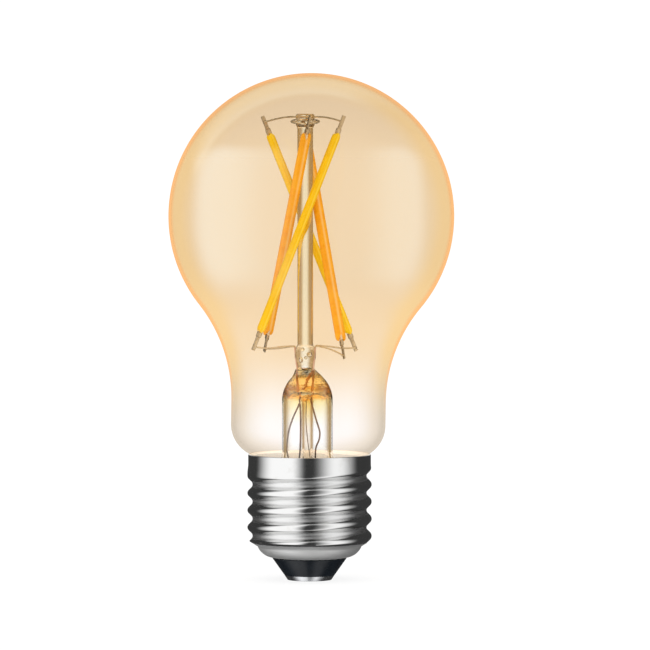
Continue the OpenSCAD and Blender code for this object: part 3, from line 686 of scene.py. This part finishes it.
def globe_line(inset):
    """The globe's outline from its top to its seal, set in by inset."""
    waist_cr = NECK_R + WAIST_R
    waist_z = GLOBE_Z - math.sqrt((GLOBE_R + WAIST_R) ** 2 - waist_cr ** 2)
    waist_a = math.degrees(math.atan2(GLOBE_Z - waist_z, waist_cr))
    shoulder_cr = NECK_R - SHOULDER_R
    collar_r = COLLAR_R - inset
    shoulder_a = math.degrees(math.acos((collar_r - shoulder_cr) / (SHOULDER_R - inset)))
    return (arc(0, GLOBE_Z, GLOBE_R - inset, 90, -waist_a, 84)
            + arc(waist_cr, waist_z, WAIST_R + inset, 180 - waist_a, 180, 30)[1:]
            + arc(shoulder_cr, SHOULDER_Z, SHOULDER_R - inset, 0, -shoulder_a, 30)[1:]
            + [(collar_r, SEAL_Z)])


def glass_envelope():
    outer, inner = globe_line(0), globe_line(GLASS_T)
    shape = placed(revolve(outer + inner[::-1], sides=168), lean())
    piece = make_piece("glass_envelope_detail", [shape], "amber_glass", ["glass_envelope"])
    piece.data.materials.append(FINISHES["bare_glass"])
    for face in piece.data.polygons:
        hub = Vector((0, 0, min(face.center.z, GLOBE_Z * MM)))
        if face.normal.dot(face.center - hub) < 0:
            face.material_index = 1
    piece.visible_glossy = False
    return piece


def stem_line():
    """The stem's outline from the button's top to the flare's seal, up the inside and down the exhaust tube
    to its tip. Each point is a radius, a height and how far its axis lies to the left of the cap's."""
    flare, pillar = -FLARE_X, -PILLAR_X
    line = [(0, BUTTON_TOP_Z, pillar)]
    line += [(r, z, pillar) for r, z in reversed(smooth_line(BUTTON_LINE, 3))]
    rows = 60
    top, foot = BUTTON_LINE[0][1], PRESS_LINE[0][1]
    for i in range(1, rows):
        wave = 1 - 0.012 * noise.noise(Vector((0, 0, i * 0.35)))
        line.append((PILLAR_R * wave, top + (foot - top) * i / rows, pillar))
    line += [(r, z, pillar) for r, z in smooth_line(PRESS_LINE, 4)]
    cone_foot_r = FLARE_R - DOME_R + DOME_R * math.cos(math.radians(DOME_A))
    cone_foot_z = DOME_Z + DOME_R * math.sin(math.radians(DOME_A))
    steps = 8
    for i in range(steps):
        t = i / steps
        shift = pillar + (flare - pillar) * ramp(0, 1, 0.35 + 0.65 * t)
        line.append((CONE_TOP_R + (cone_foot_r - CONE_TOP_R) * t, CONE_TOP_Z + (cone_foot_z - CONE_TOP_Z) * t,
                     shift))
    turn_r = COLLAR_R - GLASS_T - FLARE_R - 0.1
    turn_cr = FLARE_R + turn_r
    rim_r = COLLAR_R - GLASS_T - 0.02
    tuck_r = 0.7
    tip_r = 0.5
    rest = (arc(FLARE_R - DOME_R, DOME_Z, DOME_R, DOME_A, 0, 24)
            + arc(turn_cr, FLARE_TURN_Z, turn_r, 180, 270, 22)
            + [(rim_r, FLARE_TURN_Z - turn_r), (rim_r, FLARE_TURN_Z - turn_r - FLARE_T)]
            + arc(turn_cr, FLARE_TURN_Z, turn_r + FLARE_T, 270, 180, 22)
            + arc(FLARE_R - FLARE_T - CAVITY_R, CAVITY_Z, CAVITY_R, 0, 90, 16)
            + arc(EXHAUST_R + tuck_r, CAVITY_Z + CAVITY_R - tuck_r, tuck_r, 90, 180, 6)
            + [(EXHAUST_R, EXHAUST_TIP_Z + 2.2), (EXHAUST_R - 0.06, EXHAUST_TIP_Z + 1.7),
               (EXHAUST_R - 0.25, EXHAUST_TIP_Z + 1.1)]
            + arc(0, EXHAUST_TIP_Z + tip_r, tip_r, 20, -90, 8))
    return line + [(r, z, flare) for r, z in rest]


def glass_stem():
    """Flare, press, pillar, button and exhaust tube, which are fused into one piece of glass. The button is
    pinched out to a lobe on each side, the press holds seed bubbles and the exhaust tube has a bore."""
    rings = []
    for a in turn(128):
        lobe = 0.25 + 0.75 * abs(math.cos(a)) ** 1.6
        ring = []
        for r, z, shift in stem_line():
            if z > PILLAR_TOP_Z and r > BUTTON_R:
                r = BUTTON_R + (r - BUTTON_R) * lobe
            ring.append((r * math.cos(a) - shift, r * math.sin(a), z))
        rings.append(ring)
    bore_line = [(0, EXHAUST_TIP_Z + 0.8), (EXHAUST_BORE_R - 0.3, EXHAUST_TIP_Z + 1.5),
                 (EXHAUST_BORE_R, EXHAUST_TIP_Z + 2.4), (EXHAUST_BORE_R, EXHAUST_BORE_TOP_Z)]
    bore_line += arc(0, EXHAUST_BORE_TOP_Z, EXHAUST_BORE_R, 20, 90, 5)
    bubbles = [ball((PILLAR_X + x, y, z), size) for (x, y, z), size in BUBBLES]
    return make_piece("glass_stem_detail", [grid(rings, wrap=True)], "stem_glass",
                      ["stem_flare", "exhaust_tube", "stem_press", "centre_pillar", "pillar_button"],
                      cavities=[revolve(bore_line, (FLARE_X, 0), 48)] + bubbles, sharp=60)


# -------------------- filaments

def filament_matrix(name):
    """Places a filament's own frame: its +Z runs down the filament and its Y is the strip's thickness."""
    top, foot = (Vector(p) for p in FILAMENTS[name])
    d = foot - top
    polar = math.acos(d.z / d.length)
    around = math.atan2(d.y, d.x)
    return Matrix.Translation(top) @ Matrix.Rotation(around, 4, "Z") @ Matrix.Rotation(polar, 4, "Y")


def filament_length(name):
    top, foot = FILAMENTS[name]
    return (Vector(foot) - Vector(top)).length


def weld_point(name, along):
    """Where a wire is welded to the flat of a tab, at a distance along its filament."""
    top, foot = (Vector(p) for p in FILAMENTS[name])
    d = foot - top
    a = math.atan2(d.y, d.x)
    off = Vector((math.sin(a), -math.cos(a), 0)) * (TAB_T + WIRE_D) / 2
    return top + d.normalized() * along + off


def coat_shape(name, seed):
    """The silicone coat: an oval bar whose ends are two rounded lobes with the strip between them."""
    nose, notch_l, lobe_y = 1.1, 2.2, 0.5
    notch = 1.5 if name.startswith("warm") else 0.4
    low, high = TAB_L, filament_length(name) - TAB_L
    sides = 36

    def ring(z, size):
        end = max(0, 1 - min(z - low, high - z) / notch_l)
        tip_side = 1 if z - low < high - z else -1
        points = []
        for a in turn(sides):
            x = COAT_W / 2 * math.cos(a) * size
            y = COAT_T / 2 * math.sin(a) * (lobe_y + (1 - lobe_y) * size)
            dip = notch * end * (1 - abs(math.sin(a))) ** 1.5
            points.append((x, y, z + tip_side * dip))
        return points

    rings = []
    steps = 9
    for i in range(steps):
        v = i / steps
        rings.append(ring(low + nose * v, math.sqrt(1 - (1 - v) ** 2)))
    rows = 70
    for i in range(rows + 1):
        z = low + nose + (high - low - 2 * nose) * i / rows
        wave = 1 - 0.015 * (1 + noise.noise(Vector((seed, 0, z * 0.45))))
        rings.append(ring(z, wave))
    for i in reversed(range(steps)):
        v = i / steps
        rings.append(ring(high - nose * v, math.sqrt(1 - (1 - v) ** 2)))
    return grid(rings)


def mark_strip_and_highlight(piece, matrix, edge_on):
    """Marks where the strip shows through the coat: along its edges, or down the middle of its flats, where a
    painted highlight lies over it.
    """
    inverse = matrix.inverted()
    half = 0.17 * (COAT_T if edge_on else COAT_W)
    marks = piece.data.attributes.new("strip_and_highlight_mark", "FLOAT", "POINT").data
    for vertex, mark in zip(piece.data.vertices, marks):
        local = inverse @ (vertex.co / MM)
        mark.value = 1 - min(1, abs(local.y if edge_on else local.x) / half)


def bar(width, thickness, ends, round_r, steps=2):
    """A flat bar between two heights."""
    return rounded_box((-width / 2, -thickness / 2, min(ends)), (width / 2, thickness / 2, max(ends)),
                       round_r, steps)


def tab_shapes(name):
    """A flat tab at each end with its clip, its coined dimple and the bead of its weld."""
    whole = filament_length(name)
    grip = TAB_L - STRIP_BARE
    shapes = []
    for near, side, weld in ((0, 1, TOP_WELD), (whole, -1, FOOT_WELD)):
        shapes.append(bar(TAB_W, TAB_T, (near, near + side * grip), 0.06))
        clip_ends = near + side * (grip - 0.2), near + side * (TAB_L + 0.25)
        shapes.append(bar(CLIP_W, CLIP_T, clip_ends, 0.16, 3))
        for face in (-1, 1):
            shapes.append(ball((0, face * TAB_T / 2, near + side * DIMPLE), (0.24, 0.07, 0.24)))
        shapes.append(ball((0, -(TAB_T + WIRE_D) / 2 + 0.05, near + side * weld), (0.28, 0.2, 0.28)))
    return shapes


def filament(name, seed):
    """The coat and the end tabs of one filament. Its strip and chips are the CAD's own."""
    matrix = filament_matrix(name)
    colour = name.split("_")[0] + "_silicone"
    coat = make_piece(name + "_coat_detail", [placed(coat_shape(name, seed), matrix)], colour,
                      [name + "_coat"])
    mark_strip_and_highlight(coat, matrix, name.startswith("warm"))
    make_piece(name + "_tabs_detail", [placed(s, matrix) for s in tab_shapes(name)], "tab_metal",
               [name + "_tabs"])


# -------------------- wires

def foot(name):
    return filament_length(name) - FOOT_WELD


# Each wire's route, its finish and a direction that it never runs along
WIRES = {
    "cool_link_wire": (
        [weld_point("cool_left", TOP_WELD), (-7.2, -0.05, 97.2), (-4.6, 0, 97.65), (-2, 0, 97.65),
         (0.2, 0, 97.65), (2.6, 0, 97.65), (4.8, 0.05, 97.3), weld_point("cool_right", TOP_WELD)],
        "lead_wire", (0, 1, 0)),
    "warm_link_wire": (
        [weld_point("warm_front", TOP_WELD), (-0.2, -6, 97), (-0.75, -4, 96.9), (-0.9, -2, 96.9),
         (-0.9, 2, 96.9), (-1.05, 4, 96.9), (-1.5, 6, 97), weld_point("warm_back", TOP_WELD)],
        "lead_wire", (1, 0, 0)),
    "common_inner_lead": (
        [SEALS[0][0], (-3.3, -0.5, 49.35), (-5.6, -2.8, 49.4), (-8.6, -5.8, 49.2),
         weld_point("cool_right", foot("cool_right"))],
        "pale_wire", (0, 0, 1)),
    "common_branch_wire": (
        [(-3.5, -0.1, 49.3), (-4.5, 1.6, 49.1), (-6, 4.6, 48.7), (-7.8, 7.6, 48.4),
         weld_point("warm_front", foot("warm_front"))],
        "pale_wire", (0, 0, 1)),
    "warm_inner_lead": (
        [SEALS[1][0], (1.5, -1.2, 49.45), (3.9, -4.9, 49.1), (6, -8, 48.4),
         weld_point("warm_back", foot("warm_back"))],
        "pale_wire", (0, 0, 1)),
    "cool_inner_lead": (
        [SEALS[2][0], (1.6, 1.2, 49.4), (4.2, 3.4, 49.1), (7, 6, 48.6),
         weld_point("cool_left", foot("cool_left"))],
        "pale_wire", (0, 0, 1)),
    "common_outer_lead": (
        [SEALS[0][1], (-2.02, -1.7, 38.4), (-2.25, -1.8, 37), (-3.3, -1.6, 34.6), (-4.15, -1.25, 32),
         (-4.6, -0.8, 29.5), (-4.7, -0.6, 27), (-3.8, 0.5, 23.6), (-2.4, 2.2, 21.4), (-2, 2.95, 20.2),
         (-2, 2.97, 19.2)],
        "brown_wire", (0, 1, 0)),
    "warm_outer_lead": (
        [SEALS[1][1], (0.37, -1.6, 38.3), (0.6, -1.95, 36.8), (1.4, -2.1, 33.8), (2.05, -2.1, 31.5),
         (1.95, -2, 29.8), (1.3, -1.9, 28), (1.2, -1.6, 25.5), (1.6, 0.2, 23), (0.6, 2.2, 21.4),
         (0.3, 2.95, 20.2), (0.3, 2.97, 19.2)],
        "brown_wire", (0, 1, 0)),
    "cool_outer_lead": (
        [SEALS[2][1], (-0.83, 1.87, 37.5), (-0.9, 1.9, 33.5), (-0.3, 2, 29), (0.6, 2.1, 25.5),
         (1.8, 2.5, 22), (2.4, 2.95, 20.4), (2.4, 2.97, 19.2)],
        "brown_wire", (0, 1, 0)),
    "antenna_wire": (
        [(-1.95, -2.5, 37.3), (-1.85, -2.6, 35), (-1.85, -2.5, 31), (-1.95, -2.2, 27.5),
         (-2.15, -0.8, 24.8), (-1.9, 1.2, 23.2), (-1.2, 3, 22.3), (-1, 4.2, 21.6), (-1, 4.6, 20.6)],
        "brown_wire", (0, 1, 0)),
}


def wires():
    for name, (points, finish, across) in WIRES.items():
        shape = sweep(points, WIRE_D, across)
        make_piece(name + "_detail", [shape], finish, [name])
    rods = [rod(ends, SEAL_R) for ends in SEALS]
    make_piece("seal_wires_detail", rods, "seal_wire", ["seal_wires"])


# -------------------- screw cap

def thread_rise(u):
    """Height of the thread above its root, at a distance u along the axis from a crest."""
    half = THREAD_PITCH / 2
    straight = 2 * ARC_R - THREAD_DEPTH
    flank = math.asin(2 * ARC_R / math.hypot(half, straight)) - math.atan2(straight, half)
    bend = ARC_R * math.sin(flank)
    if u < bend:
        return THREAD_DEPTH - ARC_R + math.sqrt(ARC_R ** 2 - u ** 2)
    if u > half - bend:
        return ARC_R - math.sqrt(ARC_R ** 2 - (half - u) ** 2)
    return THREAD_DEPTH - ARC_R * (1 - math.cos(flank)) - (u - bend) * math.tan(flank)


def cap_radius(z, a):
    """The cap's outer radius at a height and an azimuth in radians: a right-handed groove that fades
    out below the skirt, cut off below by the bowl that closes the cap."""
    turns = (z - CREST_Z) / THREAD_PITCH - a / (2 * math.pi)
    u = abs(turns - round(turns)) * THREAD_PITCH
    groove_z = z + (math.floor(turns) + 0.5 - turns) * THREAD_PITCH
    cut = (THREAD_DEPTH - max(0, min(THREAD_DEPTH, thread_rise(u)))) * (1 - ramp(22.2, 23.6, groove_z))
    over = CREST_R + (SKIRT_R - CREST_R) * ramp(22.5, 24.5, z)
    return min(over - cut, BOWL_LIP_R + (z - BOWL_LIP_Z) * BOWL_SLOPE)


def cap_shell():
    """Thin sheet: the bowl, the rolled thread, the skirt and its rounded rim, then back down inside."""
    sides = 256
    row_gap = 0.16
    rows = int((RIM_Z - BOWL_LIP_Z - 0.4) / row_gap)
    heights = [BOWL_LIP_Z + 0.2 + (RIM_Z - 0.15 - BOWL_LIP_Z - 0.2) * i / rows for i in range(rows + 1)]
    angles = turn(sides)

    def wall(z, inset):
        return [((cap_radius(z, a) - inset) * math.cos(a), (cap_radius(z, a) - inset) * math.sin(a), z)
                for a in angles]

    def bowl(inset):
        outline = arc(BOWL_CR, BOWL_Z, BOWL_R - inset, -90, BOWL_END_A, 16)
        return [[(r * math.cos(a), r * math.sin(a), z) for a in angles] for r, z in outline]

    rim_r = SHEET_T / 2
    rim = []
    rim_steps = 8
    for step in range(1, rim_steps):
        b = math.pi * step / rim_steps
        r = SKIRT_R - rim_r + rim_r * math.cos(b)
        rim.append([(r * math.cos(a), r * math.sin(a), RIM_Z - rim_r + rim_r * math.sin(b)) for a in angles])
    outside = bowl(0) + [wall(z, 0) for z in heights]
    inside = bowl(SHEET_T) + [wall(z, SHEET_T) for z in heights]
    return make_piece("cap_shell_detail", [grid(outside + rim + inside[::-1], wrap=True)],
                      "cap_nickel", ["cap_shell"], sharp=60)


def cap_insulator():
    """The black insulator between the bowl's lip and the contact."""
    outline = ([(INSULATOR_HOLE_R, INSULATOR_FOOT_Z), (5.3, INSULATOR_FOOT_Z)]
               + arc(7.7, 4.55, 0.1, -35, 90, 7) + [(7.55, 4.72), (7.55, 5.15), (7.9, 5.2)]
               + arc(7.9, 5.3, 0.1, -90, 0, 4)
               + [(8.0, 6.2), (7.7, INSULATOR_TOP_Z), (INSULATOR_HOLE_R, INSULATOR_TOP_Z)])
    return make_piece("cap_insulator_detail", [revolve(outline, sides=160)], "black_insulator",
                      ["cap_insulator"])


def centre_contact():
    """The round contact and the rivet that holds it through the insulator's hole."""
    outline = ([(0, 0.02), (2.0, 0.0), (4.5, 0.0)] + arc(4.57, 0.12, 0.12, -90, -35, 6)
               + [(5.28, 0.98), (5.2, INSULATOR_FOOT_Z), (INSULATOR_HOLE_R, INSULATOR_FOOT_Z),
                  (INSULATOR_HOLE_R, INSULATOR_TOP_Z), (1.9, INSULATOR_TOP_Z), (1.9, 6.9)]
               + arc(1.4, 6.8, 0.5, 10, 90, 6) + [(0, 7.3)])
    return make_piece("centre_contact_detail", [revolve(outline, sides=128)], "contact_metal",
                      ["centre_contact"])


# -------------------- carried-over CAD nodes

# The finishes of the CAD nodes that stay, beside the filaments' strips and chips
CARRIED = {
    "basing_cement": "cement", "insulating_liner": "liner_plastic", "driver_board": "board_green",
    "smoothing_capacitor": "capacitor_sleeve", "capacitor_leads": "tinned_metal",
    "bridge_rectifier": "black_epoxy", "choke_core": "ferrite", "choke_winding": "enamelled_copper",
    "fusible_resistor": "resistor_lacquer", "resistor_leads": "tinned_metal",
    "driver_chips": "black_epoxy", "chip_resistors": "black_epoxy", "chip_capacitors": "chip_ceramic",
    "solder_joints": "tinned_metal", "live_wire": "red_insulation", "neutral_wire": "blue_insulation",
    "radio_board": "board_blue", "radio_chip": "black_epoxy", "radio_crystal": "tinned_metal",
    "radio_shield": "tinned_metal",
}


def finish_carried_nodes():
    finishes = dict(CARRIED)
    for name in FILAMENTS:
        finishes[name + "_strip"] = "strip_ceramic"
        finishes[name + "_chips"] = "led_chip"
    for name, finish in finishes.items():
        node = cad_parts[name]
        node.data.materials.clear()
        node.data.materials.append(FINISHES[finish])


# -------------------- stage, light and camera

# The camera's place and the height it looks at, in metres
CAMERA_X = 0.00326
CAMERA_DISTANCE = 1.3
CAMERA_Z = 0.118
AIM_Z = 0.05382


def floor():
    """A plain pale floor under the lamp, left out of what metal and solid glass show."""
    low = cad_bounds[0]
    radius = 4.0
    mesh = bpy.data.meshes.new("floor")
    edge = [(radius * math.cos(a), radius * math.sin(a), low.z) for a in turn(64)]
    mesh.from_pydata(edge, [], [range(len(edge))])
    tree, place = new_material("floor_paper")
    tint = mix_colours(tree, grain(tree, place, 30, 2), (0.198, 0.198, 0.198), (0.202, 0.202, 0.202))
    output(tree, principled(tree, tint, 0.9, Emission_Color=(1, 1, 1, 1), Emission_Strength=0.83,
                            Specular_IOR_Level=0.0))
    mesh.materials.append(FINISHES["floor_paper"])
    ground = bpy.data.objects.new("floor", mesh)
    bpy.context.scene.collection.objects.link(ground)
    ground.visible_glossy = False
    ground.visible_transmission = False


def glass_mirrors(tree, ray, right, elevation):
    """What clear glass mirrors: two boxes with round corners, a band behind the lamp and a faint glow from
    below. The boxes are laid out by where a ball in front of the camera shows them: 0 at its middle and 1
    at its edge."""
    x, y, z = (axis(tree, ray, letter) for letter in "XYZ")
    spread = maths(tree, "SQRT", maths(tree, "SUBTRACT", 2.0, product(tree, y, 2.0)))
    up = maths(tree, "DIVIDE", z, spread)
    out = maths(tree, "ABSOLUTE", maths(tree, "DIVIDE", x, spread))
    over = maths(tree, "MAXIMUM", even_step(tree, up, 0.33, 0.52), even_step(tree, up, 0.0, -0.62))
    beyond = even_step(tree, out, 0.58, mix_levels(tree, right, 0.87, 0.83))
    corner = maths(tree, "ADD", product(tree, over, over), product(tree, beyond, beyond))
    box = product(tree, smooth_step(tree, corner, 0.25, 1.0, 1.0, 0.0), smooth_step(tree, out, 0.08, 0.22))
    left_level = smooth_step(tree, out, 0.2, 0.62, 0.9, 2.1)
    right_level = smooth_step(tree, out, 0.3, 0.62, 0.2, 1.3)
    boxes = product(tree, box, mix_levels(tree, right, left_level, right_level))
    band = product(tree, window(tree, y, 0.43, 0.12, 0.95, 0.15), smooth_step(tree, elevation, 12, 30),
                   smooth_step(tree, x, 0.15, 0.5, 1.0, 0.0), 1.3)
    below = smooth_step(tree, elevation, -42, -68, 0.03, 0.25)
    return maths(tree, "ADD", maths(tree, "ADD", boxes, band), below)


def metal_mirrors(tree, right, aside, tilt):
    """What metal mirrors: the boxes with soft edges, and a plain grey room above and below them."""
    left_box = product(tree, window(tree, aside, 6, 28, 120, 48), 1.3)
    right_box = product(tree, window(tree, aside, 5, 45, 104, 48), 1.2)
    boxes = maths(tree, "ADD", mix_levels(tree, right, left_box, right_box), 0.05)
    room = maths(tree, "ADD", product(tree, boxes, 0.22), 0.45)
    return mix_levels(tree, smooth_step(tree, tilt, 56, 84), boxes, room)


def glass_view(tree, aside, tilt):
    """What solid glass looks through to: a backlight, darker walls beside it and a pale room round them."""
    behind = maths(tree, "SUBTRACT", 180.0, aside)
    seen = fade(tree, behind, 4, 27, (1.12, 1.3, 1.55), (0.5, 0.39, 0.22))
    seen = fade(tree, behind, 62, 92, seen, (1.0, 0.98, 0.95))
    return fade(tree, tilt, 14, 40, seen, (1.35, 1.3, 1.2))


def studio():
    """White light all round for matt surfaces and for the camera, and a room of its own for each kind of
    ray that glass and metal send out."""
    world = bpy.data.worlds.new("studio")
    bpy.context.scene.world = world
    world.use_nodes = True
    world.cycles.sampling_method = "NONE"
    tree = world.node_tree
    tree.nodes.clear()
    ray = add_node(tree, "ShaderNodeTexCoord").outputs["Generated"]
    forward = product(tree, axis(tree, ray, "Y"), -1.0)
    azimuth = maths(tree, "DEGREES", maths(tree, "ARCTAN2", axis(tree, ray, "X"), forward))
    elevation = maths(tree, "DEGREES", maths(tree, "ARCSINE", axis(tree, ray, "Z")))
    aside = maths(tree, "ABSOLUTE", azimuth)
    tilt = maths(tree, "ABSOLUTE", elevation)
    right = smooth_step(tree, azimuth, -5, 5)

    path = add_node(tree, "ShaderNodeLightPath").outputs
    mirrored = mix_levels(tree, path["Is Singular Ray"], metal_mirrors(tree, right, aside, tilt),
                          glass_mirrors(tree, ray, right, elevation))
    light = mix_colours(tree, path["Is Transmission Ray"], mirrored, glass_view(tree, aside, tilt))
    light = mix_colours(tree, path["Is Diffuse Ray"], light, (1.15, 1.15, 1.15))
    light = mix_colours(tree, path["Is Camera Ray"], light, (1.06, 1.06, 1.06))
    background = add_node(tree, "ShaderNodeBackground", {"Color": light}).outputs[0]
    add_node(tree, "ShaderNodeOutputWorld", {"Surface": background})


def camera():
    """A long lens in front of the lamp, a little above it and looking slightly down."""
    data = bpy.data.cameras.new("camera")
    data.sensor_width = 36
    data.lens = 342
    data.clip_start = 0.05
    data.clip_end = 20
    made = bpy.data.objects.new("camera", data)
    bpy.context.scene.collection.objects.link(made)
    made.location = (CAMERA_X, -CAMERA_DISTANCE, CAMERA_Z)
    aim = Vector((CAMERA_X, 0, AIM_Z))
    made.rotation_euler = (aim - made.location).to_track_quat("-Z", "Y").to_euler()
    bpy.context.scene.camera = made


def render_depth():
    """Enough bounces for light to cross the globe, the flare and the tube inside it."""
    scene = bpy.context.scene
    scene.view_settings.view_transform = "Standard"
    scene.cycles.max_bounces = 20
    scene.cycles.transmission_bounces = 16
    scene.cycles.transparent_max_bounces = 24


camera()
render_depth()
studio()
floor()
glass_envelope()
glass_stem()
for number, filament_name in enumerate(FILAMENTS):
    filament(filament_name, number * 7.3)
wires()
cap_shell()
cap_insulator()
centre_contact()
finish_carried_nodes()
